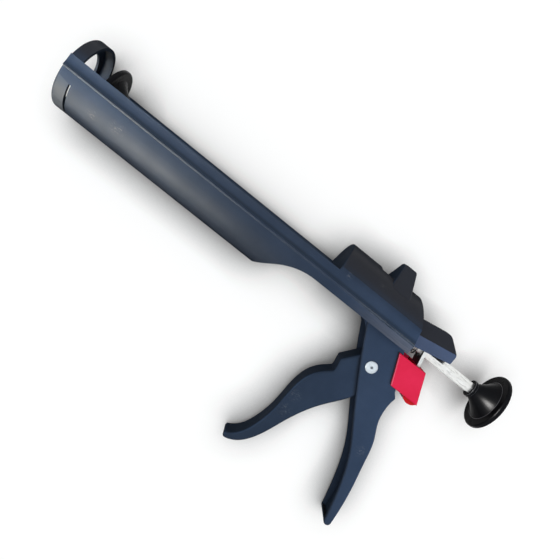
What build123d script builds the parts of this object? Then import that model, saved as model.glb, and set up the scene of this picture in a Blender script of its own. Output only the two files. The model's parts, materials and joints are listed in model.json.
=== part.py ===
"""Caulking gun with a friction drive, lying on its side.

X runs rearward along the barrel from the front face of the nose ring, Y runs up to the open side of the
cradle, and Z runs across the gun and points up. Every size is in millimetres.
"""

import math
import os

from build123d import *

os.makedirs("parts", exist_ok=True)

# Driving dimensions: the cartridge and the cradle that holds it
CARTRIDGE_D = 50.0
CARTRIDGE_PLAY = 0.2
CRADLE_WALL = 2.3
CRADLE_L = 224.2
RAIL_TOP = 9.0
RAIL_FOOT = -7.2
BAND_TOP_T = 2.0
BAND_HOLLOW_T = 1.1
BAND_HOLLOW_Y = 5.5
BEAD_R = 1.0
BEAD_PROUD = 0.45
BEAD_RISE = 0.2

# Driving dimensions: the nose ring
RING_L = 9.5
LIP_T = 1.8
NOZZLE_HOLE_R = 19.2
RING_EDGE_R = 1.6
SLOT_BACK = 0.5
SLOT_W = 1.7
SLOT_TOP = -8.0
SLOT_FOOT = -26.0

# Driving dimensions: where the cradle floor is cut away in front of the housing
CUT_RUN = 9.0
CUT_SLOPE = 38.0
CUT_R = 46.0

# Driving dimensions: the housing
ARCH_R = 29.0
ARCH_FOOT = 12.0
ARCH_EDGE_R = 1.5
HOUSING_L = 74.8
HOUSING_WALL = 2.6
FRONT_WALL = 3.5
CAVITY_CORNER = 5.0
REAR_WALL = 3.0
REAR_LEAN = 12.5
REAR_BULGE = 3.0
KNEE_Y = -1.0

# Driving dimensions: the lug and the groove on the housing's top
LUG_AHEAD = 37.8
LUG_L = 18.0
LUG_HALF_W = 19.0
LUG_FOOT = 22.0
LUG_TOP = 41.2
LUG_RAKE = 1.5
LUG_TOP_L = 11.0
LUG_TOP_HALF_W = 5.0
LUG_EDGE_R = 2.2
GROOVE_L = 10.7
GROOVE_STEP = 1.5
GROOVE_DEPTH = 1.7

# Driving dimensions: the rear hood
HOOD_HALF_W = 10.8
HOOD_WALL = 2.2
HOOD_L = 35.4
HOOD_ROOT = 12.0
HOOD_FRONT_FOOT = -5.2
HOOD_REAR_FOOT = 4.9
HOOD_FRONT_EAVE = 5.0
HOOD_FRONT_TOP = 15.8
HOOD_TOP_HALF_W = 3.0
HOOD_LEAN = 9.6
HOOD_CROWN_BACK = 10.0
HOOD_HIP = 12.4
HOOD_NOSE_R = 6.0

# Driving dimensions: the grip
GRIP_AHEAD = 35.8
GRIP_HALF_W = 13.0
GRIP_WALL = 3.0
GRIP_DROP = 150.0
GRIP_PAST = 1.5
GRIP_EDGE_R = 1.2
GRIP_SET_BACK = 2.4
GRIP_BLEND = 9.0

# Driving dimensions: the trigger and its rivet
PIVOT_AHEAD = 8.7
PIVOT_DROP = 32.5
TRIGGER_PLAY = 0.7
TRIGGER_WALL = 3.0
TRIGGER_REACH = 112.0
HUB_R = 10.0
LOBE_ARM = 20.7
LOBE_LEAN = 8.0
LOBE_R = 4.0
RIVET_R = 3.0
RIVET_HEAD_R = 4.7
RIVET_HEAD_T = 1.5
RIVET_RIM_T = 0.4
RIVET_DIMPLE_R = 1.1
RIVET_DIMPLE = 0.6
RIVET_TAIL_R = 4.2
RIVET_TAIL_T = 1.3
RIVET_WASHER_R = 5.4
RIVET_WASHER_T = 0.8

# Driving dimensions: the rod and the disc at each of its ends
ROD_FLATS = 8.0
ROD_TURN = 17.0
PISTON_FACE = 25.2
KNOB_FACE = 384.5
DISC_R = 22.8
DISC_RIM = 4.0
DISC_EDGE_R = 1.4
DISC_L = 20.0
DISC_WEB = 2.4
COLLAR_R = 6.9
COLLAR_L = 2.4
NECK_R = 6.2
NECK_L = 0.8
CONE_R = 16.5
CONE_SAG = 0.7
SCREW_R = 2.5
SCREW_L = 14.0
SCREW_HEAD_R = 4.5
SCREW_HEAD_T = 2.6
SOCKET_FLATS = 3.0
SOCKET_DEPTH = 1.6
WASHER_R = 5.0
WASHER_T = 0.8

# Driving dimensions: the drive
PLATE_T = 2.4
PLATE_HALF_W = 9.0
PLATE_CORNER_R = 3.0
DRIVE_TOP = 13.0
DRIVE_FOOT = -17.0
DRIVE_GAP = 0.4
SPRING_SEAT_T = 1.2
SPRING_SEAT_R = 7.2
DRIVE_WIRE = 1.5
DRIVE_COIL_R = 6.4
DRIVE_TURNS = 9

# Driving dimensions: the catch
CATCH_BACK = 16.6
CATCH_TILT = 13.8
CATCH_HALF_W = 8.0
CATCH_TOP = 13.0
CATCH_CORNER = 4.5
CATCH_FOOT = -31.0
CATCH_WIRE = 1.1
CATCH_COIL_R = 6.6
CATCH_TURNS = 3.5
CAP_TOP = -11.0
CAP_H = 23.0
CAP_FRONT = 0.6
CAP_L = 25.0
CAP_RAKE = 10.9
CAP_SIDE_T = 2.2
CAP_WEB_T = 1.2
CAP_LIP = 3.4
CAP_EDGE_R = 1.0
CAP_LIP_BACK = 2.6

# Clearances
RUNNING = 0.06
CLEAR = 0.3
LOOSE = 0.4
TOUCH = 0.05

# Worked-out sizes
R_IN = CARTRIDGE_D / 2 + CARTRIDGE_PLAY
R_OUT = R_IN + CRADLE_WALL
BAND_Z = R_IN + BAND_TOP_T
BEAD_Z = R_OUT + BEAD_PROUD - BEAD_R
HOUSING_X = LIP_T + CRADLE_L
REAR_X = HOUSING_X + HOUSING_L
LUG_X = REAR_X - LUG_AHEAD
FLOOR_TOP = RAIL_FOOT + HOUSING_WALL
CAVITY_X = HOUSING_X + FRONT_WALL
GRIP_X = REAR_X - GRIP_AHEAD
CHANNEL_HALF_W = GRIP_HALF_W - GRIP_WALL
PIVOT = (REAR_X - PIVOT_AHEAD, -PIVOT_DROP)
TRIGGER_HALF_W = CHANNEL_HALF_W - TRIGGER_PLAY
TRIGGER_EDGE_R = TRIGGER_REACH / 62
BUMP_R = TRIGGER_REACH / 51
LOBE = (
    LOBE_ARM * math.sin(math.radians(LOBE_LEAN)),
    LOBE_ARM * math.cos(math.radians(LOBE_LEAN)),
)
ROD_CORNER = ROD_FLATS / math.sqrt(3)
GUIDE_R = ROD_CORNER + RUNNING
PLATE_HOLE_R = ROD_CORNER + LOOSE
CATCH_HOLE_R = ROD_CORNER + 2 * LOOSE
HEAD_SEAT = SCREW_HEAD_T + WASHER_T + CLEAR
ROD_FRONT = PISTON_FACE + HEAD_SEAT + DISC_WEB
ROD_REAR = KNOB_FACE - HEAD_SEAT - DISC_WEB
ROD_MIDDLE = (PISTON_FACE + KNOB_FACE) / 2
DRIVE_REAR = PIVOT[0] + LOBE[0] - LOBE_R - DRIVE_GAP
DRIVE_MIDDLE = DRIVE_REAR - PLATE_T
DRIVE_FRONT = DRIVE_MIDDLE - PLATE_T
SEAT_REAR = CAVITY_X + SPRING_SEAT_T
CATCH_X = REAR_X + CATCH_BACK
CATCH_SLOPE = math.tan(math.radians(CATCH_TILT))
CATCH_HALF_X = PLATE_T / 2 / math.cos(math.radians(CATCH_TILT))
CAP_HALF_W = GRIP_HALF_W + CLEAR + CAP_SIDE_T

PIVOT_PLANE = Plane(origin=(PIVOT[0], PIVOT[1], 0), x_dir=(1, 0, 0), z_dir=(0, 0, 1))
RIVET_PLANE = Plane(origin=(PIVOT[0], PIVOT[1], 0), x_dir=(1, 0, 0), z_dir=(0, -1, 0))
RIVET_AXIS = Axis((PIVOT[0], PIVOT[1], 0), (0, 0, 1))


def across(x):
    """Plane square to the barrel, x behind the nose: its own x is Y and its own y is Z."""
    return Plane.YZ.offset(x)


def catch_at(y):
    """X of the middle of the tilted catch plate at height y."""
    return CATCH_X - CATCH_SLOPE * y


def draw_rear_end(shift):
    """Rear outline of the housing from its foot to its top, moved along X by shift."""
    foot = (REAR_X + shift, RAIL_FOOT)
    knee = (REAR_X + shift, KNEE_Y)
    middle = (REAR_X - REAR_LEAN / 2 + REAR_BULGE + shift, ARCH_FOOT)
    top = (REAR_X - REAR_LEAN + shift, ARCH_R + 1)
    Line(foot, knee)
    ThreePointArc(knee, middle, top)
    return foot, top


def draw_biarc(start, start_way, end, end_way):
    """Two arcs that leave start along start_way and reach end along end_way."""
    span = end - start
    ways = start_way + end_way
    a = ways.dot(ways) - 4
    b = -2 * span.dot(ways)
    c = span.dot(span)
    reach = (-b - math.sqrt(b * b - 4 * a * c)) / (2 * a)
    first = start + start_way * reach
    last = end - end_way * reach
    joint = (first + last) * 0.5
    TangentArc(start, joint, tangent=start_way)
    TangentArc(joint, end, tangent=last - first)


def least_gap(path, wire, turns):
    """Least clear gap between the turns of a wire, measured on points half a turn apart or more."""
    points = [path.position_at(i / (24 * turns)) for i in range(round(24 * turns) + 1)]
    return min((a - b).length for i, a in enumerate(points) for b in points[i + 12 :]) - wire


def wound_spring(front, rear, coil_r, wire, turns):
    """Helical spring round the rod, from front to rear, whose last point lies on top."""
    steps = round(turns * 4)
    pitch = (rear - front) / turns
    points = []
    ways = []
    for step in range(steps + 1):
        angle = math.radians((step - steps) * 90)
        way = Vector(pitch / (2 * math.pi), -coil_r * math.sin(angle), coil_r * math.cos(angle))
        points.append(Vector(front + pitch * step / 4, coil_r * math.cos(angle), coil_r * math.sin(angle)))
        ways.append(way.normalized())
    with BuildPart() as coil:
        with BuildLine() as helix:
            for step in range(steps):
                draw_biarc(points[step], ways[step], points[step + 1], ways[step + 1])
        with BuildSketch(Plane(origin=points[0], z_dir=ways[0])):
            Circle(wire / 2)
        sweep(path=helix.wires()[0])
    print("least gap between turns", round(least_gap(helix.wires()[0], wire, turns), 2))
    return coil.part


def band_section():
    """Section of the two bands up to the arch's foot, each hollow on its outer side."""
    hollow_z = R_IN + BAND_HOLLOW_T
    with BuildSketch() as section:
        with BuildLine():
            Line((0, -R_OUT), (0, R_OUT))
            ThreePointArc((0, R_OUT), (BAND_HOLLOW_Y, hollow_z), (ARCH_FOOT, BAND_Z))
            Line((ARCH_FOOT, BAND_Z), (ARCH_FOOT, -BAND_Z))
            ThreePointArc((ARCH_FOOT, -BAND_Z), (BAND_HOLLOW_Y, -hollow_z), (0, -R_OUT))
        make_face()
    return section.sketch


def on_grip(along, down):
    """Point of the grip's outline, given as shares of its drop behind its front and below the rod."""
    return GRIP_X + along * GRIP_DROP, -down * GRIP_DROP


# Front line of the grip from the housing to the tip, and its rear line up again to the spur
GRIP_FRONT = [
    on_grip(0.142, 0.264),
    on_grip(0.284, 0.479),
    on_grip(0.380, 0.623),
    on_grip(0.435, 0.738),
    on_grip(0.484, 0.879),
    on_grip(0.513, 0.980),
]
GRIP_TIP = on_grip(0.537, 1.0)
GRIP_REAR = [
    on_grip(0.553, 0.980),
    on_grip(0.516, 0.773),
    on_grip(0.471, 0.607),
    on_grip(0.437, 0.500),
    on_grip(0.393, 0.417),
    on_grip(0.375, 0.347),
    on_grip(0.377, 0.270),
]
SPUR = on_grip(0.353, 0.243)
GRIP_FRONT_TOP = (GRIP_X + GRIP_SET_BACK, RAIL_FOOT)
GRIP_BACK_TOP = (REAR_X + GRIP_PAST, RAIL_FOOT)

# Mechanism space inside the housing, open below between the grip's walls
with BuildPart() as cavity:
    with BuildSketch(across(CAVITY_X)):
        with BuildLine():
            inner = ARCH_R - HOUSING_WALL
            foot_z = math.sqrt(inner**2 - ARCH_FOOT**2)
            turn = math.radians(45)
            corner = (FLOOR_TOP + CAVITY_CORNER, foot_z)
            Polyline((FLOOR_TOP, 0), (FLOOR_TOP, foot_z - CAVITY_CORNER), corner, (ARCH_FOOT, foot_z))
            ThreePointArc(
                (ARCH_FOOT, foot_z), (inner * math.sin(turn), inner * math.cos(turn)), (inner, 0)
            )
            Line((inner, 0), (FLOOR_TOP, 0))
        make_face()
        mirror(about=Plane.XZ)
    extrude(amount=HOUSING_L)
    with BuildSketch(Plane.XY):
        with BuildLine():
            foot, top = draw_rear_end(-REAR_WALL)
            Polyline(top, (HOUSING_X, ARCH_R + 1), (HOUSING_X, RAIL_FOOT), foot)
        make_face()
    extrude(amount=2 * ARCH_R, both=True, mode=Mode.INTERSECT)


def hood_solid(inset):
    """Rear hood over the rod, drawn inset inside its outer faces and let down as much at its foot."""
    front_x = REAR_X - HOOD_ROOT
    rear_x = REAR_X + HOOD_L - inset
    lean = math.radians(HOOD_LEAN)
    crown_x = rear_x - HOOD_CROWN_BACK
    front_foot = (front_x, HOOD_FRONT_FOOT - inset)
    front_top = (front_x, HOOD_FRONT_TOP - inset)
    crown = (crown_x, front_top[1] + math.tan(lean) * (crown_x - front_x))
    hip = (rear_x, HOOD_HIP - inset)
    rear_foot = (rear_x, HOOD_REAR_FOOT - inset)
    with BuildPart() as solid:
        # Side outline with the sloping nose at its rear end
        with BuildSketch(Plane.XY):
            with BuildLine():
                FilletPolyline(front_top, crown, hip, rear_foot, radius=HOOD_NOSE_R - inset)
                Polyline(rear_foot, front_foot, front_top)
            make_face()
        extrude(amount=HOOD_HALF_W, both=True)
        # Upright sides and a sloping roof
        with BuildSketch(across(front_x)):
            with BuildLine():
                low = -2 * HOOD_FRONT_TOP
                Polyline(
                    (low, HOOD_HALF_W),
                    (HOOD_FRONT_EAVE, HOOD_HALF_W),
                    (HOOD_FRONT_TOP, HOOD_TOP_HALF_W),
                    (HOOD_FRONT_TOP, -HOOD_TOP_HALF_W),
                    (HOOD_FRONT_EAVE, -HOOD_HALF_W),
                    (low, -HOOD_HALF_W),
                    close=True,
                )
            make_face()
            if inset:
                offset(amount=-inset, kind=Kind.INTERSECTION)
        extrude(amount=2 * HOOD_L, dir=(math.cos(lean), math.sin(lean), 0), mode=Mode.INTERSECT)
    return solid.part


hood_outside = hood_solid(0)

# Space under the hood behind the housing's rear wall, which is flat there for the catch spring
with BuildPart() as hood_space:
    add(hood_solid(HOOD_WALL))
    with BuildSketch(across(REAR_X)):
        Rectangle(4 * HOOD_FRONT_TOP, 4 * HOOD_HALF_W)
    extrude(amount=2 * HOOD_L, mode=Mode.INTERSECT)

# Lug on the housing's top
with BuildPart() as lug:
    with BuildSketch(Plane.XZ.offset(-LUG_FOOT)):
        with Locations((LUG_X + LUG_L / 2, 0)):
            Rectangle(LUG_L, 2 * LUG_HALF_W)
    with BuildSketch(Plane.XZ.offset(-LUG_TOP)):
        with Locations((LUG_X + LUG_RAKE + LUG_TOP_L / 2, 0)):
            Rectangle(LUG_TOP_L, 2 * LUG_TOP_HALF_W)
    loft()
    fillet(lug.edges().filter_by(lambda e: e.center().Y > LUG_FOOT + 1), LUG_EDGE_R)

# Grip, still without its channel
with BuildPart() as grip:
    with BuildSketch(Plane.XY):
        with BuildLine():
            Spline(GRIP_FRONT_TOP, *GRIP_FRONT)
            ThreePointArc(GRIP_FRONT[-1], GRIP_TIP, GRIP_REAR[0])
            Spline(*GRIP_REAR)
            inside_front = (GRIP_FRONT_TOP[0], 1)
            Polyline(GRIP_REAR[-1], SPUR, GRIP_BACK_TOP, (REAR_X, 1), inside_front, GRIP_FRONT_TOP)
        make_face()
    extrude(amount=GRIP_HALF_W, both=True)
    sides = grip.edges().filter_by(lambda e: abs(abs(e.center().Z) - GRIP_HALF_W) < TOUCH)
    fillet(sides.filter_by(lambda e: e.center().Y < GRIP_REAR[-1][1]), GRIP_EDGE_R)
    # Hollow corner between the housing's underside and the front of the grip
    with BuildSketch(Plane.XY):
        with BuildLine():
            corner = Vector(*GRIP_FRONT_TOP)
            blend_start = corner - Vector(GRIP_BLEND, 0)
            blend_end = corner + (Vector(*GRIP_FRONT[0]) - corner).normalized() * GRIP_BLEND
            inside_x = blend_end.X + GRIP_WALL
            inside_y = RAIL_FOOT + 1
            TangentArc(blend_start, blend_end, tangent=(1, 0))
            Polyline(blend_end, (inside_x, blend_end.Y), (inside_x, inside_y))
            Polyline((inside_x, inside_y), (blend_start.X, inside_y), blend_start)
        make_face()
    extrude(amount=GRIP_HALF_W - GRIP_EDGE_R, both=True)

# Body moulding
with BuildPart() as body:
    # Housing: its arched top, the bands of its rails and the round flanges under them
    with BuildSketch(across(HOUSING_X)):
        Circle(ARCH_R)
        with Locations((ARCH_FOOT - ARCH_R, 0)):
            Rectangle(2 * ARCH_R, 2 * ARCH_R, mode=Mode.SUBTRACT)
    extrude(amount=HOUSING_L)
    fillet(body.faces().sort_by(Axis.X)[0].edges().filter_by(GeomType.CIRCLE), ARCH_EDGE_R)
    with BuildSketch(across(HOUSING_X)):
        add(band_section())
    extrude(amount=HOUSING_L)
    with BuildSketch(across(HOUSING_X)):
        Circle(R_OUT)
        with Locations((R_OUT, 0), (RAIL_FOOT - R_OUT, 0)):
            Rectangle(2 * R_OUT, 2 * R_OUT, mode=Mode.SUBTRACT)
    extrude(amount=HOUSING_L)
    # Cradle
    with BuildSketch(across(0)):
        Circle(R_OUT)
        Circle(R_IN, mode=Mode.SUBTRACT)
        with Locations((R_OUT, 0)):
            Rectangle(2 * R_OUT, 2 * R_OUT, mode=Mode.SUBTRACT)
    extrude(amount=HOUSING_X)
    # Floor of the cradle cut away in front of the housing
    with BuildSketch(Plane.XY):
        with BuildLine():
            lean = math.radians(CUT_SLOPE)
            below = -2 * R_OUT
            arc_end = (HOUSING_X - CUT_RUN, RAIL_FOOT)
            arc_start = (arc_end[0] - CUT_R * math.sin(lean), RAIL_FOOT - CUT_R * (1 - math.cos(lean)))
            low = (arc_start[0] - (arc_start[1] - below) / math.tan(lean), below)
            Line(low, arc_start)
            TangentArc(arc_start, arc_end, tangent=(math.cos(lean), math.sin(lean)))
            Polyline(arc_end, (HOUSING_X, RAIL_FOOT), (HOUSING_X, below), low)
        make_face()
    extrude(amount=2 * R_OUT, both=True, mode=Mode.SUBTRACT)
    # Nose ring, its lip and the slots behind it
    with BuildSketch(across(0)):
        Circle(R_OUT)
        Circle(R_IN, mode=Mode.SUBTRACT)
    extrude(amount=RING_L)
    with BuildSketch(across(0)):
        Circle(R_OUT)
        Circle(NOZZLE_HOLE_R, mode=Mode.SUBTRACT)
    extrude(amount=LIP_T)
    fillet(body.faces().sort_by(Axis.X)[0].outer_wire().edges(), RING_EDGE_R)
    with BuildSketch(across(RING_L + SLOT_BACK)):
        with Locations(((SLOT_TOP + SLOT_FOOT) / 2, 0)):
            Rectangle(SLOT_TOP - SLOT_FOOT, 3 * R_OUT)
    extrude(amount=SLOT_W, mode=Mode.SUBTRACT)
    # Flats on the ring's sides, bands of the rails over them and the bead along the foot of each band
    with BuildSketch(across(0)):
        with Locations((RAIL_TOP / 2, 0)):
            Rectangle(RAIL_TOP, 4 * R_OUT)
            Rectangle(RAIL_TOP, 2 * R_IN + BAND_HOLLOW_T, mode=Mode.SUBTRACT)
    extrude(amount=RING_L, mode=Mode.SUBTRACT)
    with BuildSketch(across(0)):
        add(band_section())
        with Locations((RAIL_TOP / 2, 0)):
            Rectangle(RAIL_TOP, 2 * R_IN, mode=Mode.SUBTRACT)
        with Locations((RAIL_TOP + R_OUT, 0)):
            Rectangle(2 * R_OUT, 4 * R_OUT, mode=Mode.SUBTRACT)
    extrude(amount=HOUSING_X)
    with BuildSketch(across(RING_EDGE_R / 2)):
        with Locations((BEAD_RISE, BEAD_Z), (BEAD_RISE, -BEAD_Z)):
            Circle(BEAD_R)
    extrude(amount=REAR_X - RING_EDGE_R / 2)
    # Grip
    add(grip.part)
    # Rear end of the housing
    with BuildSketch(Plane.XY):
        with BuildLine():
            foot, top = draw_rear_end(0)
            Polyline(top, (REAR_X + HOOD_L, ARCH_R + 1), (REAR_X + HOOD_L, RAIL_FOOT), foot)
        make_face()
    extrude(amount=2 * ARCH_R, both=True, mode=Mode.SUBTRACT)
    # Groove, lug and hood
    with BuildSketch(Plane.XY):
        with BuildLine():
            high = ARCH_R + 1
            groove_x = LUG_X - GROOVE_L
            Polyline(
                (groove_x, high),
                (groove_x, ARCH_R),
                (groove_x + GROOVE_STEP / 2, ARCH_R - GROOVE_STEP),
                (LUG_X + LUG_RAKE, ARCH_R - GROOVE_DEPTH),
                (LUG_X + LUG_RAKE, high),
                close=True,
            )
        make_face()
    extrude(amount=2 * ARCH_R, both=True, mode=Mode.SUBTRACT)
    add(lug.part)
    add(hood_outside)
    # Everything hollow
    add(cavity.part, mode=Mode.SUBTRACT)
    add(hood_space.part, mode=Mode.SUBTRACT)
    with BuildSketch(Plane.XY):
        with BuildLine():
            back = GRIP_WALL + LOOSE
            points = [(x - back, y) for x, y in GRIP_REAR]
            front_foot = (CAVITY_X, GRIP_REAR[0][1])
            front_top = (CAVITY_X, FLOOR_TOP + 1)
            rear_top = (GRIP_BACK_TOP[0] - back - 1, FLOOR_TOP + 1)
            Polyline(front_top, front_foot, points[0])
            Spline(*points)
            Polyline(points[-1], (SPUR[0] - back, SPUR[1] + back / 2), rear_top, front_top)
        make_face()
    extrude(amount=CHANNEL_HALF_W, both=True, mode=Mode.SUBTRACT)
    # Guide holes for the rod and holes for the rivet
    with BuildSketch(across(HOUSING_X - 1)):
        Circle(GUIDE_R)
    extrude(amount=HOUSING_L + REAR_WALL, mode=Mode.SUBTRACT)
    with BuildSketch(across(REAR_X + 1)):
        Circle(PLATE_HOLE_R)
    extrude(amount=HOOD_L, mode=Mode.SUBTRACT)
    with BuildSketch(PIVOT_PLANE):
        Circle(RIVET_R)
    extrude(amount=2 * GRIP_HALF_W, both=True, mode=Mode.SUBTRACT)
body.part.label = "body"
export_step(body.part, "parts/body.step")


def on_trigger(along, down):
    """Point of the trigger's outline from its pivot, given as shares of its reach."""
    return along * TRIGGER_REACH, -down * TRIGGER_REACH


# Trigger lever, drawn from its pivot: front edge from the tip to the finger valley, bump above and rear edge
TRIGGER_FRONT = [
    on_trigger(-0.464, 0.963),
    on_trigger(-0.396, 0.909),
    on_trigger(-0.342, 0.793),
    on_trigger(-0.312, 0.633),
    on_trigger(-0.305, 0.423),
    on_trigger(-0.279, 0.310),
    on_trigger(-0.233, 0.238),
    on_trigger(-0.199, 0.206),
]
TRIGGER_BUMP = [
    TRIGGER_FRONT[-1],
    on_trigger(-0.164, 0.174),
    on_trigger(-0.181, 0.087),
    on_trigger(-0.071, -0.054),
]
TRIGGER_REAR = [
    on_trigger(0.089, 0.027),
    on_trigger(0.091, 0.116),
    on_trigger(0.058, 0.220),
    on_trigger(-0.068, 0.401),
    on_trigger(-0.193, 0.637),
    on_trigger(-0.268, 0.833),
    on_trigger(-0.365, 0.965),
    on_trigger(-0.441, 1.0),
]
TRIGGER_ARM = [(-1.6, 0), (LOBE[0] - 2.3, LOBE[1] - 1.0), (LOBE[0] + 3.7, LOBE[1] - 0.5), (9.0, 0)]
with BuildPart() as trigger:
    with BuildSketch(PIVOT_PLANE):
        with BuildLine():
            FilletPolyline(*TRIGGER_BUMP, radius=BUMP_R)
            Line(TRIGGER_BUMP[-1], TRIGGER_REAR[0])
            rear = Spline(*TRIGGER_REAR)
            TangentArc(TRIGGER_REAR[-1], TRIGGER_FRONT[0], tangent=rear % 1)
            Spline(*TRIGGER_FRONT)
        make_face()
    extrude(amount=TRIGGER_HALF_W, both=True)
    sides = trigger.edges().filter_by(lambda e: abs(abs(e.center().Z) - TRIGGER_HALF_W) < TOUCH)
    fillet(sides.filter_by(lambda e: e.center().Y < PIVOT[1] - HUB_R / 4), TRIGGER_EDGE_R)
    # Hub, arm and lobe
    with BuildSketch(PIVOT_PLANE):
        Circle(HUB_R)
        Polygon(*TRIGGER_ARM, align=None)
        with Locations(LOBE):
            Circle(LOBE_R)
    extrude(amount=TRIGGER_HALF_W, both=True)
    # Hollow back and pivot hole
    with BuildSketch(PIVOT_PLANE):
        with BuildLine():
            inside = [(x + TRIGGER_WALL, y) for x, y in TRIGGER_FRONT[2:6]]
            behind = 2 * HUB_R
            Spline(*inside)
            Polyline(inside[-1], (behind, inside[-1][1]), (behind, inside[0][1]), inside[0])
        make_face()
    extrude(amount=TRIGGER_HALF_W - TRIGGER_WALL, both=True, mode=Mode.SUBTRACT)
    with BuildSketch(PIVOT_PLANE):
        Circle(RIVET_R + RUNNING)
    extrude(amount=2 * GRIP_HALF_W, both=True, mode=Mode.SUBTRACT)
trigger.part.label = "trigger"
export_step(trigger.part, "parts/trigger.step")

# Rivet that the trigger turns on, with a domed head towards +Z
with BuildPart() as trigger_rivet:
    with BuildSketch(RIVET_PLANE):
        with BuildLine():
            washer_z = -GRIP_HALF_W - RIVET_WASHER_T
            tail_z = washer_z - RIVET_TAIL_T
            rim_z = GRIP_HALF_W + RIVET_RIM_T
            crown_z = GRIP_HALF_W + RIVET_HEAD_T
            Polyline((0, tail_z), (RIVET_TAIL_R, tail_z), (RIVET_TAIL_R, washer_z), (RIVET_R, washer_z))
            Polyline((RIVET_R, washer_z), (RIVET_R, GRIP_HALF_W), (RIVET_HEAD_R, GRIP_HALF_W))
            Line((RIVET_HEAD_R, GRIP_HALF_W), (RIVET_HEAD_R, rim_z))
            TangentArc((RIVET_DIMPLE_R, crown_z), (RIVET_HEAD_R, rim_z), tangent=(1, 0))
            Polyline((RIVET_DIMPLE_R, crown_z), (0, crown_z - RIVET_DIMPLE), (0, tail_z))
        make_face()
    revolve(axis=RIVET_AXIS)
trigger_rivet.part.label = "trigger_rivet"
export_step(trigger_rivet.part, "parts/trigger_rivet.step")

with BuildPart() as rivet_washer:
    with BuildSketch(PIVOT_PLANE.offset(-GRIP_HALF_W)):
        Circle(RIVET_WASHER_R)
        Circle(RIVET_R, mode=Mode.SUBTRACT)
    extrude(amount=-RIVET_WASHER_T)
rivet_washer.part.label = "rivet_washer"
export_step(rivet_washer.part, "parts/rivet_washer.step")

# Hexagonal push rod with a tapped hole in each end
with BuildPart() as push_rod:
    with BuildSketch(across(ROD_FRONT)):
        RegularPolygon(ROD_FLATS / 2, 6, major_radius=False, rotation=ROD_TURN)
    extrude(amount=ROD_REAR - ROD_FRONT)
    with BuildSketch(across(ROD_FRONT)):
        Circle(SCREW_R)
    extrude(amount=SCREW_L, mode=Mode.SUBTRACT)
    with BuildSketch(across(ROD_REAR)):
        Circle(SCREW_R)
    extrude(amount=-SCREW_L, mode=Mode.SUBTRACT)
push_rod.part.label = "push_rod"
export_step(push_rod.part, "parts/push_rod.step")

# Pull knob at the rear end: a flanged cone with a socket for the rod and a seat for its screw
with BuildPart() as pull_knob:
    with BuildSketch(Plane.XY):
        with BuildLine():
            rim_x = KNOB_FACE - DISC_RIM
            collar_x = KNOB_FACE - DISC_L
            neck_x = collar_x + COLLAR_L
            cone_x = neck_x + NECK_L
            sag = ((cone_x + rim_x) / 2 + CONE_SAG, (NECK_R + CONE_R) / 2 - CONE_SAG)
            Polyline((KNOB_FACE, 0), (KNOB_FACE, DISC_R), (rim_x, DISC_R), (rim_x, CONE_R))
            ThreePointArc((rim_x, CONE_R), sag, (cone_x, NECK_R))
            Polyline((cone_x, NECK_R), (neck_x, NECK_R), (neck_x, COLLAR_R), (collar_x, COLLAR_R))
            Polyline((collar_x, COLLAR_R), (collar_x, 0), (KNOB_FACE, 0))
        make_face()
    revolve(axis=Axis.X)
    rims = pull_knob.edges().filter_by(GeomType.CIRCLE).filter_by(lambda e: e.radius > DISC_R - TOUCH)
    fillet(rims, DISC_EDGE_R)
    with BuildSketch(across(KNOB_FACE)):
        Circle(WASHER_R + CLEAR)
    extrude(amount=-HEAD_SEAT, mode=Mode.SUBTRACT)
    with BuildSketch(across(KNOB_FACE)):
        Circle(SCREW_R + CLEAR)
    extrude(amount=-DISC_L, mode=Mode.SUBTRACT)
    with BuildSketch(across(ROD_REAR)):
        RegularPolygon(ROD_FLATS / 2, 6, major_radius=False, rotation=ROD_TURN)
    extrude(amount=-DISC_L, mode=Mode.SUBTRACT)
pull_knob.part.label = "pull_knob"
export_step(pull_knob.part, "parts/pull_knob.step")

# Piston at the front end: the same moulding turned round
with BuildPart() as piston:
    mirror(pull_knob.part, about=across(ROD_MIDDLE))
piston.part.label = "piston"
export_step(piston.part, "parts/piston.step")

# Socket screw and washer that hold each disc on the rod
with BuildPart() as disc_screws:
    with BuildSketch(across(KNOB_FACE - HEAD_SEAT + WASHER_T)):
        Circle(SCREW_HEAD_R)
    extrude(amount=SCREW_HEAD_T)
    with BuildSketch(across(KNOB_FACE - HEAD_SEAT + WASHER_T)):
        Circle(SCREW_R)
    extrude(amount=-SCREW_L)
    with BuildSketch(across(KNOB_FACE - CLEAR)):
        RegularPolygon(SOCKET_FLATS / 2, 6, major_radius=False)
    extrude(amount=-SOCKET_DEPTH, mode=Mode.SUBTRACT)
    mirror(about=across(ROD_MIDDLE))
disc_screws.part.label = "disc_screws"
export_step(disc_screws.part, "parts/disc_screws.step")

with BuildPart() as disc_washers:
    with BuildSketch(across(KNOB_FACE - HEAD_SEAT)):
        Circle(WASHER_R)
        Circle(SCREW_R, mode=Mode.SUBTRACT)
    extrude(amount=WASHER_T)
    mirror(about=across(ROD_MIDDLE))
disc_washers.part.label = "disc_washers"
export_step(disc_washers.part, "parts/disc_washers.step")


def drive_plate(front):
    """Steel plate that grips the rod, with its front face at front."""
    with BuildPart() as plate:
        with BuildSketch(across(front)):
            with Locations(((DRIVE_TOP + DRIVE_FOOT) / 2, 0)):
                RectangleRounded(DRIVE_TOP - DRIVE_FOOT, 2 * PLATE_HALF_W, PLATE_CORNER_R)
            Circle(PLATE_HOLE_R, mode=Mode.SUBTRACT)
        extrude(amount=PLATE_T)
    return plate.part


drive_plate_front = drive_plate(DRIVE_FRONT)
drive_plate_front.label = "drive_plate_front"
export_step(drive_plate_front, "parts/drive_plate_front.step")

drive_plate_rear = drive_plate(DRIVE_MIDDLE)
drive_plate_rear.label = "drive_plate_rear"
export_step(drive_plate_rear, "parts/drive_plate_rear.step")

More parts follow.
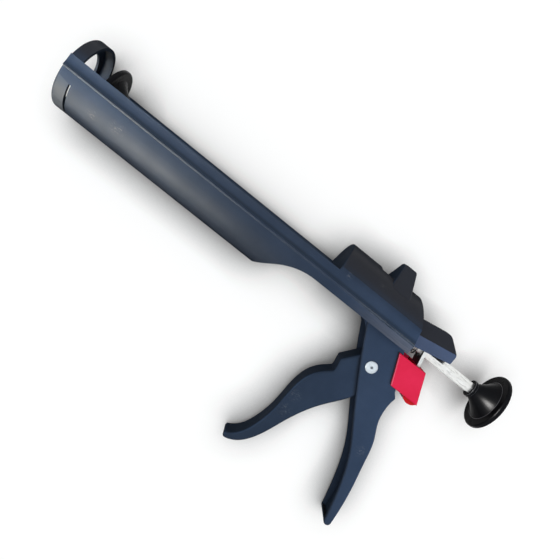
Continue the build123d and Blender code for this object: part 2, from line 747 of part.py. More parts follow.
# Drive spring between its seat on the front wall and the plates
with BuildPart() as spring_seat:
    with BuildSketch(across(CAVITY_X)):
        Circle(SPRING_SEAT_R)
        Circle(PLATE_HOLE_R, mode=Mode.SUBTRACT)
    extrude(amount=SPRING_SEAT_T)
spring_seat.part.label = "spring_seat"
export_step(spring_seat.part, "parts/spring_seat.step")

drive_spring = wound_spring(
    SEAT_REAR + DRIVE_WIRE / 2 + TOUCH,
    DRIVE_FRONT - DRIVE_WIRE / 2 - TOUCH,
    DRIVE_COIL_R,
    DRIVE_WIRE,
    DRIVE_TURNS,
)
drive_spring.label = "drive_spring"
export_step(drive_spring, "parts/drive_spring.step")

# Catch plate that locks the rod, hinged in the hood, and the spring that tilts it
with BuildPart() as catch_plate:
    with BuildSketch(Plane.XY):
        with BuildLine():
            high = catch_at(CATCH_TOP)
            low = catch_at(CATCH_FOOT)
            Polyline(
                (high - CATCH_HALF_X, CATCH_TOP),
                (high + CATCH_HALF_X, CATCH_TOP),
                (low + CATCH_HALF_X, CATCH_FOOT),
                (low - CATCH_HALF_X, CATCH_FOOT),
                close=True,
            )
        make_face()
    extrude(amount=CATCH_HALF_W, both=True)
    chamfer(catch_plate.edges().filter_by(Axis.X).group_by(Axis.Y)[-1], CATCH_CORNER)
    with BuildSketch(across(REAR_X)):
        Circle(CATCH_HOLE_R)
    extrude(amount=HOOD_L, mode=Mode.SUBTRACT)
catch_plate.part.label = "catch_plate"
export_step(catch_plate.part, "parts/catch_plate.step")

catch_spring = wound_spring(
    REAR_X + CATCH_WIRE / 2 + TOUCH,
    catch_at(CATCH_COIL_R + CATCH_WIRE / 2) - CATCH_HALF_X - CATCH_WIRE / 2 - TOUCH,
    CATCH_COIL_R,
    CATCH_WIRE,
    CATCH_TURNS,
)
catch_spring.label = "catch_spring"
export_step(catch_spring, "parts/catch_spring.step")

# Thumb cap on the foot of the catch plate, straddling the back of the grip
with BuildPart() as thumb_cap:
    cap_left = REAR_X - CAP_FRONT
    cap_foot = CAP_TOP - CAP_H
    lip = (cap_left + CAP_RAKE + CAP_L, cap_foot)
    with BuildSketch(Plane.XY):
        with BuildLine():
            Polyline(
                (cap_left, CAP_TOP),
                (cap_left + CAP_L, CAP_TOP),
                lip,
                (cap_left + CAP_RAKE, cap_foot),
                close=True,
            )
        make_face()
    extrude(amount=CAP_HALF_W, both=True)
    sides = thumb_cap.edges().filter_by(lambda e: abs(abs(e.center().Z) - CAP_HALF_W) < TOUCH)
    fillet(sides, CAP_EDGE_R)
    # Rounded lip below, set back from the sides
    with BuildSketch(Plane.XY):
        with BuildLine():
            lip_front = (lip[0] - CAP_L / 2, cap_foot)
            root = cap_foot + CAP_LIP
            Polyline(lip_front, (lip_front[0], root), (lip[0] - CAP_LIP, root), lip)
            ThreePointArc(lip, (lip[0] - CAP_L / 4, cap_foot - CAP_LIP), lip_front)
        make_face()
    extrude(amount=CAP_HALF_W - CAP_LIP_BACK, both=True)
    # Pocket for the grip and slot for the plate
    with BuildSketch(Plane.XY):
        with BuildLine():
            web = CATCH_HALF_X + CAP_WEB_T
            high = CAP_TOP + 1
            low = cap_foot - CAP_LIP - 1
            Polyline((cap_left - 1, high), (catch_at(high) - web, high), (catch_at(low) - web, low))
            Polyline((catch_at(low) - web, low), (cap_left - 1, low), (cap_left - 1, high))
        make_face()
    extrude(amount=GRIP_HALF_W + CLEAR, both=True, mode=Mode.SUBTRACT)
    with BuildSketch(Plane.XY):
        with BuildLine():
            half = CATCH_HALF_X
            foot_x = catch_at(CATCH_FOOT)
            Polyline((catch_at(high) - half, high), (catch_at(high) + half, high))
            Line((catch_at(high) + half, high), (foot_x + half, CATCH_FOOT))
            Polyline((foot_x + half, CATCH_FOOT), (foot_x - half, CATCH_FOOT), (catch_at(high) - half, high))
        make_face()
    extrude(amount=CATCH_HALF_W, both=True, mode=Mode.SUBTRACT)
thumb_cap.part.label = "thumb_cap"
export_step(thumb_cap.part, "parts/thumb_cap.step")
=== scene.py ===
"""Caulking gun lying on its side on a white table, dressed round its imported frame."""

import json
import math

import bmesh
import bpy
from mathutils import Matrix, Vector


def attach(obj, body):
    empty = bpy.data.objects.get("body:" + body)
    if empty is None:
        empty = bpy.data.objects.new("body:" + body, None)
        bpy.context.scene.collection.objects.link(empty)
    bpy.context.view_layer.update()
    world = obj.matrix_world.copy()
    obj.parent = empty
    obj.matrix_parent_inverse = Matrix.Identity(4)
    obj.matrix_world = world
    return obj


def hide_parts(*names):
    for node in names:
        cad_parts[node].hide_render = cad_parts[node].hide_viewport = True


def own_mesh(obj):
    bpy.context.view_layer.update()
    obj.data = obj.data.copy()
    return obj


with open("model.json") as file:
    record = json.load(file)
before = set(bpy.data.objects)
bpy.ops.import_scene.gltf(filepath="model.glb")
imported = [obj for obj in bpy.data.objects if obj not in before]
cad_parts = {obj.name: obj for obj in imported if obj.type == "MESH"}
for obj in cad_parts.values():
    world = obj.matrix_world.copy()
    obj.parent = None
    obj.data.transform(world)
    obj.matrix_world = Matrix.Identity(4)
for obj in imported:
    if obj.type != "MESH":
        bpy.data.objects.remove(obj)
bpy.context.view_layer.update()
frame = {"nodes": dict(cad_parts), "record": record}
nodes = frame["nodes"]
record = frame["record"]
MM = 0.001

# Places of a colour mix's two colours among its inputs, and of its result among its outputs
MIX_FIRST = 6
MIX_SECOND = 7
MIX_RESULT = 2


class Nodes:
    """A node tree, with short ways to add and join nodes."""

    def __init__(self, tree):
        self.tree = tree

    def add(self, kind, **settings):
        node = self.tree.nodes.new(kind)
        for name, value in settings.items():
            setattr(node, name, value)
        return node

    def join(self, source, target):
        self.tree.links.new(source, target)

    def ramp(self, value, low, high, from_value, to_value):
        """Value between low and high spread over from_value to to_value."""
        node = self.add("ShaderNodeMapRange")
        node.inputs["From Min"].default_value = low
        node.inputs["From Max"].default_value = high
        node.inputs["To Min"].default_value = from_value
        node.inputs["To Max"].default_value = to_value
        self.join(value, node.inputs["Value"])
        return node.outputs["Result"]

    def math(self, operation, first, second):
        """Two values joined by an operation; the second may be a plain number."""
        node = self.add("ShaderNodeMath", operation=operation)
        self.join(first, node.inputs[0])
        if isinstance(second, float):
            node.inputs[1].default_value = second
        else:
            self.join(second, node.inputs[1])
        return node.outputs[0]

    def mix(self, factor, first, second):
        """Colour between first and second; either may be a socket."""
        node = self.add("ShaderNodeMix", data_type="RGBA")
        self.join(factor, node.inputs["Factor"])
        for key, colour in ((MIX_FIRST, first), (MIX_SECOND, second)):
            if isinstance(colour, tuple):
                node.inputs[key].default_value = (*colour, 1.0)
            else:
                self.join(colour, node.inputs[key])
        return node.outputs[MIX_RESULT]

    def seen(self):
        """1 for rays that come from the camera, or from a gloss or a clear surface, and otherwise 0."""
        path = self.add("ShaderNodeLightPath")
        result = path.outputs["Is Camera Ray"]
        for name in ("Is Glossy Ray", "Is Transmission Ray"):
            result = self.math("MAXIMUM", result, path.outputs[name])
        return result


class Shader(Nodes):
    """A material, with patterns that lie in the part's own space."""

    def __init__(self, name):
        self.material = bpy.data.materials.new(name)
        self.material.use_nodes = True
        super().__init__(self.material.node_tree)
        self.bsdf = self.tree.nodes["Principled BSDF"]
        coords = self.add("ShaderNodeTexCoord")
        self.place = coords.outputs["Object"]
        self.facing = coords.outputs["Normal"]

    def set(self, name, value):
        self.bsdf.inputs[name].default_value = value

    def noise(self, scale, detail=2.0, roughness=0.5, stretch=None):
        """Noise in the part's own space; stretch scales it along the three axes."""
        node = self.add("ShaderNodeTexNoise")
        node.inputs["Scale"].default_value = scale
        node.inputs["Detail"].default_value = detail
        node.inputs["Roughness"].default_value = roughness
        source = self.place
        if stretch is not None:
            mapping = self.add("ShaderNodeMapping")
            mapping.inputs["Scale"].default_value = stretch
            self.join(source, mapping.inputs["Vector"])
            source = mapping.outputs["Vector"]
        self.join(source, node.inputs["Vector"])
        return node.outputs["Fac"]

    def along(self, vector, name):
        """One axis of a vector."""
        split = self.add("ShaderNodeSeparateXYZ")
        self.join(vector, split.inputs["Vector"])
        return split.outputs[name]

    def near(self, spot, reach):
        """1 at spot, in millimetres, falling to 0 at reach from it."""
        node = self.add("ShaderNodeVectorMath", operation="DISTANCE")
        self.join(self.place, node.inputs[0])
        node.inputs[1].default_value = Vector(spot) * MM
        return self.ramp(node.outputs["Value"], 0.0, reach * MM, 1.0, 0.0)

    def axis(self, name, low, high, from_value, to_value):
        """Place along one axis, in millimetres, spread over from_value to to_value."""
        return self.ramp(self.along(self.place, name), low * MM, high * MM, from_value, to_value)

    def upright(self):
        """0 on the gun's flat sides, rising to 1 on faces that stand across them."""
        level = self.add("ShaderNodeMath", operation="ABSOLUTE")
        self.join(self.along(self.facing, "Z"), level.inputs[0])
        return self.ramp(level.outputs[0], 0.15, 0.55, 1.0, 0.0)

    def bump(self, height, strength, distance):
        node = self.add("ShaderNodeBump")
        node.inputs["Strength"].default_value = strength
        node.inputs["Distance"].default_value = distance
        self.join(height, node.inputs["Height"])
        self.join(node.outputs["Normal"], self.bsdf.inputs["Normal"])

    def colour(self, socket):
        self.join(socket, self.bsdf.inputs["Base Color"])

    def rough(self, socket):
        self.join(socket, self.bsdf.inputs["Roughness"])


# Materials: a noise scale is about how many spots there are to a metre, and grain is a depth in metres
CLOUD_SCALE = 34.0
PATCH_SCALE = 55.0
SCRATCH_SCALE = 70.0
SCRATCH_STRETCH = (1.0, 14.0, 1.0)
SCUFF_SCALE = 1300.0
SCUFF_STRETCH = (0.3, 1.0, 1.0)
SATIN_SCALE = 40.0
SATIN_SPREAD = 0.05
GRAIN_SCALE = 900.0
GRAIN_STRENGTH = 0.25
WORN_GAIN = 1.8
WORN_LIFT = 0.012
RUBBED = (0.12, 0.122, 0.125)
# Colour of the painted shade on faces that stand across the gun's flat sides
FLANK_SHADE_TINT = (0.0115, 0.0088, 0.0073)
SATIN = 0.52
GRAIN = 0.00004
FINE_GRAIN = 0.00003
SMOOTH_GRAIN = 0.00002


def moulded_plastic(
    name, dark, light, shine, roughness=SATIN, grain=GRAIN, scuffs=(), flank_shade=0.0, painted_light=None
):
    """Moulded plastic: cloudy, finely grained and scratched, with scuffs at given spots, flanks made rougher
    and darkened with painted shade, and any painted light that is passed in.
    """
    shader = Shader(name)
    clouds = shader.ramp(shader.noise(CLOUD_SCALE, 4.0, 0.6), 0.35, 0.65, 0.0, 1.0)
    patches = shader.ramp(shader.noise(PATCH_SCALE, 6.0, 0.7), 0.50, 0.72, 0.0, 1.0)
    lines = shader.ramp(shader.noise(SCRATCH_SCALE, 3.0, 0.6, SCRATCH_STRETCH), 0.62, 0.76, 0.0, 0.8)
    worn = tuple(min(1.0, c * WORN_GAIN + WORN_LIFT) for c in light)
    base = shader.mix(clouds, dark, light)
    base = shader.mix(shader.math("MULTIPLY", patches, lines), base, worn)
    rub_and_sheen = shader.ramp(shader.noise(SCUFF_SCALE, 4.0, 0.7, SCUFF_STRETCH), 0.52, 0.66, 0.0, 0.9)
    for spot, reach in scuffs:
        base = shader.mix(shader.math("MULTIPLY", shader.near(spot, reach), rub_and_sheen), base, RUBBED)
    # Where given, this paints light and shade onto the colour.
    if painted_light is not None:
        base = painted_light(shader, base)
    # Painted shade: faces that stand across the gun's flat sides are darkened, and also made rougher.
    dulling_and_shade = shader.ramp(shader.upright(), 0.0, 1.0, 0.0, flank_shade)
    shader.colour(shader.mix(dulling_and_shade, base, FLANK_SHADE_TINT))
    satin = shader.ramp(
        shader.noise(SATIN_SCALE, 4.0), 0.3, 0.7, roughness - SATIN_SPREAD, roughness + SATIN_SPREAD
    )
    shader.rough(shader.math("ADD", satin, dulling_and_shade))
    shader.bump(shader.noise(GRAIN_SCALE, 2.0), GRAIN_STRENGTH, grain)
    shader.set("Specular IOR Level", shine)
    return shader.material


STREAK_SCALE = 500.0
STAIN_SCALE = 800.0
STAIN_SHARE = 0.4
STREAK_SPREAD = 0.06
STREAK_STRENGTH = 0.15
STREAK_DEPTH = 0.00005
EVEN = (1.0, 1.0, 1.0)


def plain_metal(name, dark, light, roughness, stretch=EVEN, stain=0.0):
    """Metal with drawn marks along one axis and darker stains."""
    shader = Shader(name)
    streaks = shader.noise(STREAK_SCALE, 4.0, 0.6, stretch)
    base = shader.mix(shader.ramp(streaks, 0.3, 0.7, 0.0, 1.0), dark, light)
    stains = shader.ramp(shader.noise(STAIN_SCALE, 5.0, 0.7, stretch), 0.52, 0.64, 0.0, stain)
    shader.colour(shader.mix(stains, base, tuple(c * STAIN_SHARE for c in dark)))
    shader.rough(shader.ramp(streaks, 0.3, 0.7, roughness - STREAK_SPREAD, roughness + STREAK_SPREAD))
    shader.bump(streaks, STREAK_STRENGTH, STREAK_DEPTH)
    shader.set("Metallic", 1.0)
    return shader.material


NAVY_DARK = (0.015, 0.023, 0.037)
NAVY_LIGHT = (0.021, 0.031, 0.049)
TRIGGER_DARK = (0.013, 0.020, 0.032)
TRIGGER_LIGHT = (0.018, 0.027, 0.042)
# Paler grey of the painted sheen on the rail's strip below its bead
RAIL_SHEEN_GREY = (0.110, 0.110, 0.122)
# Colour of the painted shade in the cove above the rail's bead
COVE_SHADE = (0.004, 0.006, 0.008)
# Dark neutral tint of the painted shade on the arch
ARCH_SHADE_TINT = (0.022, 0.018, 0.0155)
RAIL_SCALE = 900.0
RAIL_STRETCH = (0.08, 1.0, 1.0)
# Share of painted shade on faces that stand across the flat sides
FLANK_SHADE = 0.60


def rail_sheen_and_shade(shader, base):
    """Near rail painted a streaked paler grey below its bead towards the rear, a painted sheen; painted shade
    in the cove above the bead; and painted shade, dark and neutral, on the arch where it faces upwards.
    """
    # Painted sheen: the strip below the bead, towards the rear, is painted a streaked paler grey.
    streaks = shader.ramp(shader.noise(RAIL_SCALE, 3.0, 0.6, RAIL_STRETCH), 0.3, 0.7, 0.6, 1.1)
    rub_and_sheen = shader.math("MULTIPLY", shader.axis("X", 244.0, 300.0, 0.0, 0.95), streaks)
    below_bead = shader.axis("Y", -0.5, -1.0, 0.0, 1.0)
    above_foot = shader.axis("Y", -8.0, -7.0, 0.0, 1.0)
    near_side = shader.axis("Z", 20.0, 21.0, 0.0, 1.0)
    for limit in (below_bead, above_foot, near_side):
        rub_and_sheen = shader.math("MULTIPLY", rub_and_sheen, limit)
    base = shader.mix(rub_and_sheen, base, RAIL_SHEEN_GREY)
    # Painted shade: the cove just above the bead is darkened.
    cove_foot = shader.axis("Y", 1.2, 2.0, 0.0, 0.6)
    cove_top = shader.axis("Y", 2.4, 4.0, 1.0, 0.0)
    base = shader.mix(shader.math("MULTIPLY", cove_foot, cove_top), base, COVE_SHADE)
    # Painted shade: faces of the arch that turn upwards are darkened to a neutral dark.
    arch_shade = shader.ramp(shader.along(shader.facing, "Y"), 0.25, 0.55, 0.0, 0.7)
    return shader.mix(arch_shade, base, ARCH_SHADE_TINT)


def bead_highlight(shader, base):
    """Bead left pale, a painted highlight, at the nose and at the rear, and darkened to plain navy between.
    """
    behind_nose = shader.axis("X", 80.0, 125.0, 0.0, 0.75)
    before_rear = shader.axis("X", 245.0, 262.0, 1.0, 0.0)
    return shader.mix(shader.math("MULTIPLY", behind_nose, before_rear), base, NAVY_LIGHT)


# Scuffed spots and how far each reaches, in millimetres
BODY_SCUFFS = (
    ((49.8, -11.7, 24.9), 6.0),
    ((54.5, -10.4, 25.5), 4.0),
    ((31.6, -14.9, 23.1), 5.0),
    ((234.0, 10.0, 27.0), 3.5),
    ((258.0, 18.0, 22.0), 4.0),
    ((328.0, -87.0, 13.0), 6.0),
)
BEAD_SCUFFS = tuple(((x, 0.0, 28.0), 9.0) for x in (262, 273, 284, 295))
TRIGGER_SCUFFS = (((264.2, -99.1, 9.3), 7.0), ((263.4, -85.2, 9.3), 6.0))

body_plastic = moulded_plastic(
    "navy_moulding", NAVY_DARK, NAVY_LIGHT, 0.10, scuffs=BODY_SCUFFS, flank_shade=FLANK_SHADE, painted_light=rail_sheen_and_shade
)
trigger_plastic = moulded_plastic(
    "navy_trigger", TRIGGER_DARK, TRIGGER_LIGHT, 0.08, scuffs=TRIGGER_SCUFFS, flank_shade=FLANK_SHADE
)
matt_plastic = moulded_plastic("navy_matt", TRIGGER_DARK, TRIGGER_LIGHT, 0.02, roughness=0.70)
# Pale colour of the softened edges: a painted highlight along them.
edge_highlight_plastic = moulded_plastic(
    "navy_edge_highlights", (0.085, 0.096, 0.115), (0.160, 0.172, 0.190), 0.20, roughness=0.45, grain=FINE_GRAIN
)
# Bead painted paler than the body: a painted highlight along its crest, with scuffs near the rear.
bead_highlight_plastic = moulded_plastic(
    "navy_bead_highlight",
    (0.016, 0.022, 0.030),
    (0.060, 0.068, 0.074),
    0.14,
    roughness=0.50,
    grain=FINE_GRAIN,
    scuffs=BEAD_SCUFFS,
    painted_light=bead_highlight,
)
# Paler navy for the side of the hood: a painted sheen on the same moulding as the body.
hood_sheen_plastic = moulded_plastic("navy_hood_sheen", (0.046, 0.056, 0.088), (0.056, 0.068, 0.104), 0.10)
# Paler navy for the underside of the ring: a painted sheen on the same moulding as the body.
ring_sheen_plastic = moulded_plastic("navy_ring_sheen", (0.026, 0.034, 0.046), (0.038, 0.047, 0.061), 0.13, flank_shade=FLANK_SHADE)
disc_plastic = moulded_plastic(
    "black_disc", (0.005, 0.005, 0.006), (0.009, 0.009, 0.010), 0.03, roughness=0.27, grain=SMOOTH_GRAIN
)
# Pale colour of the knob's softened edges: a painted highlight.
disc_edge_highlight = moulded_plastic(
    "disc_edge_highlights", (0.080, 0.080, 0.082), (0.160, 0.160, 0.165), 0.10, roughness=0.35, grain=SMOOTH_GRAIN
)
cap_plastic = moulded_plastic(
    "crimson_cap", (0.74, 0.010, 0.050), (0.82, 0.016, 0.070), 0.12, roughness=0.46, grain=FINE_GRAIN
)
# Paler red on the cap's rounded front edges: a painted highlight.
cap_edge_highlight = moulded_plastic(
    "crimson_edge_highlights", (0.82, 0.090, 0.150), (0.90, 0.150, 0.210), 0.15, roughness=0.40, grain=FINE_GRAIN
)
# Darker red on the cap's lip and on faces across its sides: painted shade.
cap_lip_shade = moulded_plastic(
    "crimson_lip_shade", (0.52, 0.004, 0.005), (0.62, 0.006, 0.008), 0.12, roughness=0.46, grain=FINE_GRAIN
)
rod_metal = plain_metal(
    "plated_rod", (0.74, 0.75, 0.73), (0.88, 0.89, 0.87), 0.34, stretch=(0.22, 1.0, 1.0), stain=0.5
)
# Dark steel, kept this dark partly as painted shade where the catch plate faces into the gap behind the
# housing.
plate_steel_and_shade = plain_metal(
    "steel_plate", (0.05, 0.05, 0.052), (0.10, 0.10, 0.103), 0.50, stretch=(1.0, 0.1, 1.0)
)
shear_metal = plain_metal(
    "sheared_edge", (0.62, 0.64, 0.63), (0.80, 0.82, 0.81), 0.36, stretch=(1.0, 0.2, 1.0), stain=0.4
)
spring_metal = plain_metal("spring_wire", (0.13, 0.13, 0.14), (0.24, 0.24, 0.25), 0.36)
rivet_metal = plain_metal("rivet_aluminium", (0.58, 0.64, 0.69), (0.68, 0.75, 0.80), 0.40, stain=0.3)
# Dark colour in the rivet's dimple: painted shade in the hollow.
dimple_shade_metal = plain_metal("rivet_dimple_shade", (0.10, 0.12, 0.14), (0.20, 0.22, 0.25), 0.45)


# Pieces
def body_of_node(node):
    for body, members in record["behaviour"]["bodies"].items():
        if node in members:
            return body
    return None


def link(thing):
    """Puts a new object in the scene."""
    bpy.context.scene.collection.objects.link(thing)
    return thing


def add_piece(name, mesh, node):
    """A piece of the scene that stands for a CAD node and moves with its body."""
    piece = link(bpy.data.objects.new(name, mesh))
    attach(piece, body_of_node(node))
    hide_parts(node)
    return piece


WELD = 1e-6
FLAT_ANGLE = math.radians(0.3)
SHARP_ANGLE = math.radians(28.0)
EDGE_SEGMENTS = 2
EDGE_SLOT = 1
FIRST_PATCH_SLOT = 2


def dress(node, name, material, edge_material, width, patches=()):
    """A copy of a CAD node with softened edges, and patches of other materials where a test finds them."""
    mesh = nodes[node].data.copy()
    mesh.materials.clear()
    for each in (material, edge_material, *(other for _, other in patches)):
        mesh.materials.append(each)
    shape = bmesh.new()
    shape.from_mesh(mesh)
    bmesh.ops.remove_doubles(shape, verts=shape.verts, dist=WELD)
    bmesh.ops.dissolve_limit(shape, angle_limit=FLAT_ANGLE, verts=shape.verts, edges=shape.edges)
    for face in shape.faces:
        face.smooth = True
        face.material_index = 0
        centre = face.calc_center_median() / MM
        for index, (test, _) in enumerate(patches):
            if test(centre, face.normal):
                face.material_index = index + FIRST_PATCH_SLOT
    for edge in shape.edges:
        edge.smooth = True
    shape.to_mesh(mesh)
    shape.free()
    piece = add_piece(name, mesh, node)
    bevel = piece.modifiers.new("soft_edges", "BEVEL")
    bevel.width = width * MM
    bevel.segments = EDGE_SEGMENTS
    bevel.limit_method = "ANGLE"
    bevel.angle_limit = SHARP_ANGLE
    bevel.use_clamp_overlap = True
    bevel.material = EDGE_SLOT
    weighted = piece.modifiers.new("even_normals", "WEIGHTED_NORMAL")
    weighted.keep_sharp = False
    return piece


def spring(node, name):
    """A spring, copied from its CAD node with its own mesh, that moves with its body."""
    mesh = nodes[node].data.copy()
    mesh.materials.clear()
    mesh.materials.append(spring_metal)
    for face in mesh.polygons:
        face.use_smooth = True
    piece = add_piece(name, mesh, node)
    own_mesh(piece)


def paint(node, material):
    """A CAD node shown as it is, with a finished material."""
    mesh = nodes[node].data
    mesh.materials.clear()
    mesh.materials.append(material)


# Limits of the patches, in millimetres
BEAD_RISE = 0.2
BEAD_R = 1.0
BEAD_FOOT = 27.2
RING_L = 9.5
RING_R = 26.0
BARREL_R = 26.5
BARREL_END = 225.0
HOOD_X = 301.0
HOOD_FOOT = -6.0
HOOD_Z = 9.5
CAP_FOOT = -34.0
RIVET_AT = (292.1, -32.5)
DIMPLE_R = 1.2


def on_bead(centre, normal):
    return abs(centre.y - BEAD_RISE) < BEAD_R and abs(centre.z) > BEAD_FOOT


def on_ring_side(centre, normal):
    return centre.x < RING_L and centre.y < 0 and abs(normal.x) < 0.6 and centre.yz.length > RING_R


def under_barrel(limit):
    """A test for the outside of the barrel where it turns further under than limit."""

    def test(centre, normal):
        outside = centre.yz.length > BARREL_R and centre.y < 0 and RING_L < centre.x < BARREL_END
        return outside and abs(normal.z) < limit

    return test


def on_hood_side(centre, normal):
    return centre.x > HOOD_X and centre.y > HOOD_FOOT and abs(normal.z) > 0.8 and abs(centre.z) > HOOD_Z


def on_front(centre, normal):
    return normal.x < -0.4 and abs(normal.z) < 0.35 and centre.x > RING_L


def on_rim(centre, normal):
    return abs(normal.z) < 0.35


def in_dimple(centre, normal):
    return math.dist(centre.xy, RIVET_AT) < DIMPLE_R and centre.z > 0


def on_sheared_edge(centre, normal):
    return abs(normal.z) > 0.5


def on_cap_edge(centre, normal):
    return 0.5 < abs(normal.z) < 0.97 and normal.x < -0.1


def on_lip(centre, normal):
    return centre.y < CAP_FOOT or abs(normal.z) < 0.5


# The barrel grows duller in steps as it turns under: each step has its limit and its shine
UNDER_STEPS = ((0.68, 0.07), (0.58, 0.045), (0.48, 0.025), (0.36, 0.01))
body_patches = [
    (
        under_barrel(limit),
        moulded_plastic(
            f"navy_under_{step}", NAVY_DARK, NAVY_LIGHT, shine, scuffs=BODY_SCUFFS, flank_shade=FLANK_SHADE
        ),
    )
    for step, (limit, shine) in enumerate(UNDER_STEPS, 1)
]
body_patches += [
    (on_hood_side, hood_sheen_plastic),
    (on_bead, bead_highlight_plastic),
    (on_ring_side, ring_sheen_plastic),
    (on_front, matt_plastic),
]

# Widths of the softened edges, in millimetres
BODY_EDGE = 0.4
PLASTIC_EDGE = 0.3
ROD_EDGE = 0.25
PLATE_EDGE = 0.2
RIVET_EDGE = 0.12
gun_body = dress("body", "gun_body", body_plastic, edge_highlight_plastic, BODY_EDGE, body_patches)
trigger_lever = dress(
    "trigger", "trigger_lever", trigger_plastic, edge_highlight_plastic, PLASTIC_EDGE, [(on_rim, matt_plastic)]
)
rear_knob = dress("pull_knob", "rear_knob", disc_plastic, disc_edge_highlight, PLASTIC_EDGE)
front_piston = dress("piston", "front_piston", disc_plastic, disc_plastic, PLASTIC_EDGE)
dress(
    "thumb_cap",
    "red_thumb_cap",
    cap_plastic,
    cap_plastic,
    PLASTIC_EDGE,
    [(on_lip, cap_lip_shade), (on_cap_edge, cap_edge_highlight)],
)
dress("trigger_rivet", "pivot_rivet", rivet_metal, rivet_metal, RIVET_EDGE, [(in_dimple, dimple_shade_metal)])
dress("push_rod", "hex_rod", rod_metal, rod_metal, ROD_EDGE)
dress("catch_plate", "catch_lever", plate_steel_and_shade, shear_metal, PLATE_EDGE, [(on_sheared_edge, shear_metal)])
spring("drive_spring", "drive_coil")
spring("catch_spring", "catch_coil")
paint("rivet_washer", rivet_metal)
for node in ("disc_screws", "disc_washers"):
    paint(node, shear_metal)
for node in ("drive_plate_front", "drive_plate_rear", "spring_seat"):
    paint(node, plate_steel_and_shade)

# Table: the gun lies on its cradle and on the tip of its grip, so the table leans against the gun's own frame
TABLE_DROP = 27.9 * MM
TABLE_LEAN = math.atan2(14.6, 148.0)
TABLE_HALF = 1.6
TABLE_MIDDLE_X = 0.19
TABLE_CORNERS = ((-1, -1), (1, -1), (1, 1), (-1, 1))
TABLE_PALE = (0.92, 0.87, 0.79)
TABLE_UNSEEN = (0.22, 0.21, 0.20)
TABLE_GLOW = 0.16
SHADE_REACH = 0.032
SHADE_SAMPLES = 12
BLACK = (0.0, 0.0, 0.0)
WHITE = (1.0, 1.0, 1.0, 1.0)


def white_table():
    """Pale matt table with painted shadow close to the gun, and dim for the light that it throws back."""
    floor = Shader("white_table")
    seen = floor.seen()
    # Painted shadow: ambient occlusion darkens the table near the gun.
    near_gun = floor.add("ShaderNodeAmbientOcclusion", samples=SHADE_SAMPLES)
    near_gun.inputs["Distance"].default_value = SHADE_REACH
    shade = floor.ramp(near_gun.outputs["AO"], 0.3, 0.97, 0.2, 1.0)
    floor.colour(floor.mix(seen, TABLE_UNSEEN, floor.mix(shade, BLACK, TABLE_PALE)))
    glow = floor.ramp(floor.math("MULTIPLY", seen, shade), 0.0, 1.0, 0.0, TABLE_GLOW)
    floor.join(glow, floor.bsdf.inputs["Emission Strength"])
    floor.set("Emission Color", WHITE)
    floor.set("Roughness", 0.9)
    floor.set("Specular IOR Level", 0.0)
    return floor.material


def add_table():
    upward = Vector((0.0, math.sin(TABLE_LEAN), math.cos(TABLE_LEAN)))
    along = Vector((1.0, 0.0, 0.0))
    up_slope = upward.cross(along)
    middle = along * TABLE_MIDDLE_X - upward * TABLE_DROP
    corners = [middle + (along * sx + up_slope * sy) * TABLE_HALF for sx, sy in TABLE_CORNERS]
    mesh = bpy.data.meshes.new("table")
    mesh.from_pydata([tuple(corner) for corner in corners], [], [(0, 1, 2, 3)])
    mesh.materials.append(white_table())
    link(bpy.data.objects.new("table", mesh))


# Camera, almost straight above the table
CAMERA_AT = Vector((166.93, 21.24, 390.76)) * MM
CAMERA_WAY = Vector((0.08621, -0.11864, -0.98919)).normalized()
CAMERA_UP = Vector((-0.61960, 0.77112, -0.14648)).normalized()
FIELD_OF_VIEW = math.radians(55.14)
SENSOR_WIDTH = 36.0
CLIP_START = 0.01


def add_camera():
    lens = bpy.data.cameras.new("camera")
    lens.sensor_fit = "HORIZONTAL"
    lens.sensor_width = SENSOR_WIDTH
    lens.lens = SENSOR_WIDTH / 2 / math.tan(FIELD_OF_VIEW / 2)
    lens.clip_start = CLIP_START
    camera = link(bpy.data.objects.new("camera", lens))
    right = CAMERA_WAY.cross(CAMERA_UP).normalized()
    upward = right.cross(CAMERA_WAY)
    turn = Matrix((right, upward, -CAMERA_WAY)).transposed()
    camera.matrix_world = Matrix.Translation(CAMERA_AT) @ turn.to_4x4()
    bpy.context.scene.camera = camera


# Light: panels that show only in the gloss, under a sky that is brightest overhead
PANEL_BLUE = (0.25, 0.50, 1.0)
PANEL_SIZE = (0.9, 0.9)
WIDE = 120.0
NARROW = 60.0
SKY_AXIS = (-0.05, 0.08, 0.99)
SKY_POWER = 8.0
HORIZON = (0.14, 0.14, 0.14)
ZENITH = (4.1, 4.4, 4.9)


def gloss_panel(name, place, target, size, strength, colour, spread):
    """Soft panel that shows in the gloss of the surfaces; strength is its brightness."""
    data = bpy.data.lights.new(name, "AREA")
    data.shape = "RECTANGLE"
    data.size, data.size_y = size
    data.energy = strength * math.pi * size[0] * size[1]
    data.color = colour
    data.spread = math.radians(spread)
    panel = link(bpy.data.objects.new(name, data))
    panel.location = place
    panel.rotation_euler = (Vector(target) - Vector(place)).to_track_quat("-Z", "Y").to_euler()
    panel.visible_diffuse = False
    return panel


def lit_only(name, pieces, panels):
    """Keeps the light of some panels to some pieces."""
    group = bpy.data.collections.new(name)
    for piece in pieces:
        group.objects.link(piece)
    for panel in panels:
        panel.light_linking.receiver_collection = group


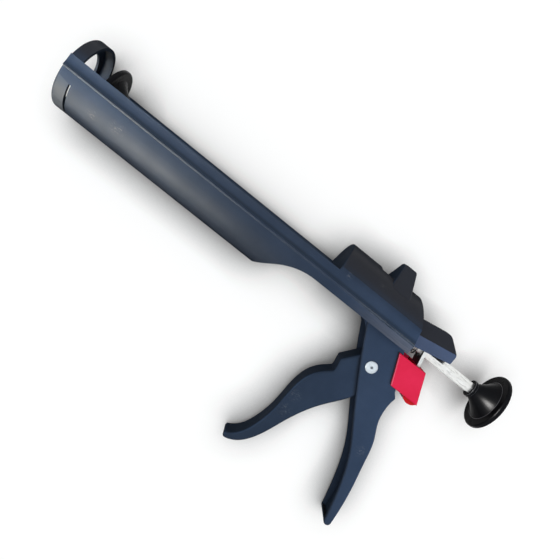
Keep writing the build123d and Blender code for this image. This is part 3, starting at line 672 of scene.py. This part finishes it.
def add_panels():
    gloss_panel(
        "barrel_strip",
        place=(-0.03, -0.315, 0.15),
        target=(0.03, -0.015, 0.02),
        size=(0.20, 0.14),
        strength=9.6,
        colour=(0.93, 0.83, 0.66),
        spread=NARROW,
    )
    panel_front = gloss_panel(
        "panel_front",
        place=(-0.90, -0.03, 1.0),
        target=(0.02, 0.0, 0.0),
        size=PANEL_SIZE,
        strength=12.0,
        colour=PANEL_BLUE,
        spread=WIDE,
    )
    panel_rear = gloss_panel(
        "panel_rear",
        place=(1.20, 0.0, 1.0),
        target=(0.33, -0.04, 0.0),
        size=PANEL_SIZE,
        strength=10.5,
        colour=PANEL_BLUE,
        spread=WIDE,
    )
    nose_sheen = gloss_panel(
        "nose_sheen",
        place=(-0.11, -0.16, 0.30),
        target=(0.02, -0.005, 0.026),
        size=(0.16, 0.14),
        strength=5.2,
        colour=(0.86, 0.94, 1.0),
        spread=NARROW,
    )
    disc_glint = gloss_panel(
        "disc_glint",
        place=(-0.30, -0.06, 0.42),
        target=(0.37, 0.0, 0.0),
        size=(0.22, 0.30),
        strength=110.0,
        colour=(1.0, 0.98, 0.96),
        spread=WIDE,
    )
    lit_only("sides_lit", [gun_body, trigger_lever], [panel_front, panel_rear])
    lit_only("nose_lit", [gun_body], [nose_sheen])
    lit_only("discs_lit", [rear_knob, front_piston], [disc_glint])


def add_sky():
    """Sky that lights the gun from overhead, and is plain white where it is seen."""
    world = bpy.data.worlds.new("studio")
    world.use_nodes = True
    bpy.context.scene.world = world
    sky = Nodes(world.node_tree)
    away = sky.add("ShaderNodeTexCoord")
    facing = sky.add("ShaderNodeVectorMath", operation="DOT_PRODUCT")
    facing.inputs[1].default_value = Vector(SKY_AXIS).normalized()
    sky.join(away.outputs["Generated"], facing.inputs[0])
    above = sky.add("ShaderNodeClamp")
    sky.join(facing.outputs["Value"], above.inputs["Value"])
    rise = sky.math("POWER", above.outputs["Result"], SKY_POWER)
    light = world.node_tree.nodes["Background"]
    sky.join(sky.mix(rise, HORIZON, ZENITH), light.inputs["Color"])
    plain = sky.add("ShaderNodeBackground")
    plain.inputs["Color"].default_value = WHITE
    either = sky.add("ShaderNodeMixShader")
    sky.join(sky.seen(), either.inputs["Fac"])
    sky.join(light.outputs["Background"], either.inputs[1])
    sky.join(plain.outputs["Background"], either.inputs[2])
    sky.join(either.outputs["Shader"], world.node_tree.nodes["World Output"].inputs["Surface"])


add_table()
add_camera()
add_panels()
add_sky()
bpy.context.scene.view_settings.view_transform = "Standard"
